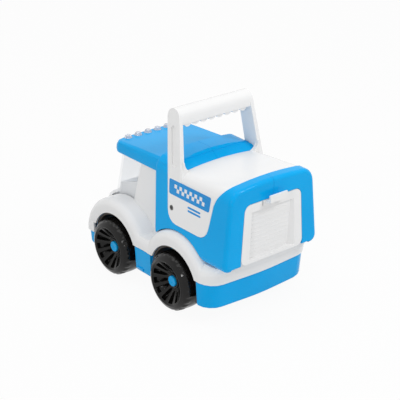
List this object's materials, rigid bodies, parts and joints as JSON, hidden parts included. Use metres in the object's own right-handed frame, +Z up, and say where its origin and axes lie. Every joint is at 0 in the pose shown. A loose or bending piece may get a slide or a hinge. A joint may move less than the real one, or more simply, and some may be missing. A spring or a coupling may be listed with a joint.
{
  "type": "toy truck",
  "caption": "Chunky plastic toy truck with a box cargo body, an arched carry handle over it, a drop-down rear door, roof lamps and free-rolling dished wheels.",
  "frame": {"origin": "On the floor, under the middle of the truck's bounding box.", "axes": "+X points to the front of the truck, +Y to its left side, +Z up."},
  "size_m": [0.2676, 0.173, 0.2315],
  "materials": {
    "blue_plastic": "gloss",
    "white_plastic": "satin",
    "black_plastic": "gloss",
    "clear_plastic": "clear gloss",
    "plated_steel": "zinc plated"
  },
  "bodies": {
    "truck": {"axle_front": "plated_steel", "axle_rear": "plated_steel", "cab_roof": "blue_plastic", "cargo_screw_1": "plated_steel", "cargo_screw_2": "plated_steel", "cargo_screw_3": "plated_steel", "cargo_screw_4": "plated_steel", "cargo_shell_left": "blue_plastic", "cargo_shell_right": "blue_plastic", "chassis_pan": "blue_plastic", "cover_screw_left": "plated_steel", "cover_screw_right": "plated_steel", "handle_cover": "white_plastic", "hub_cap_front_left": "blue_plastic", "hub_cap_front_right": "blue_plastic", "hub_cap_rear_left": "blue_plastic", "hub_cap_rear_right": "blue_plastic", "lamp_strip": "clear_plastic", "lower_body": "white_plastic", "pan_screw_1": "plated_steel", "pan_screw_2": "plated_steel", "pan_screw_3": "plated_steel", "pan_screw_4": "plated_steel", "pan_screw_5": "plated_steel", "pan_screw_6": "plated_steel", "window_insert": "clear_plastic"},
    "rear_door": {"rear_door": "white_plastic"},
    "wheel_front_left": {"wheel_front_left": "black_plastic"},
    "wheel_front_right": {"wheel_front_right": "black_plastic"},
    "wheel_rear_left": {"wheel_rear_left": "black_plastic"},
    "wheel_rear_right": {"wheel_rear_right": "black_plastic"}
  },
  "joints": [
    {"name": "wheel_front_left_spin", "type": "hinge", "parent": "truck", "child": "wheel_front_left", "pos_m": [0.07218, 0, 0.035], "axis": [0, 1, 0], "continuous": true},
    {"name": "wheel_front_right_spin", "type": "hinge", "parent": "truck", "child": "wheel_front_right", "pos_m": [0.07218, 0, 0.035], "axis": [0, 1, 0], "continuous": true},
    {"name": "wheel_rear_left_spin", "type": "hinge", "parent": "truck", "child": "wheel_rear_left", "pos_m": [-0.04182, 0, 0.035], "axis": [0, 1, 0], "continuous": true},
    {"name": "wheel_rear_right_spin", "type": "hinge", "parent": "truck", "child": "wheel_rear_right", "pos_m": [-0.04182, 0, 0.035], "axis": [0, 1, 0], "continuous": true},
    {"name": "rear_door_hinge", "type": "hinge", "parent": "truck", "child": "rear_door", "pos_m": [-0.11922, 0, 0.08], "axis": [0, -1, 0], "range_deg": [0, 95]}
  ]
}
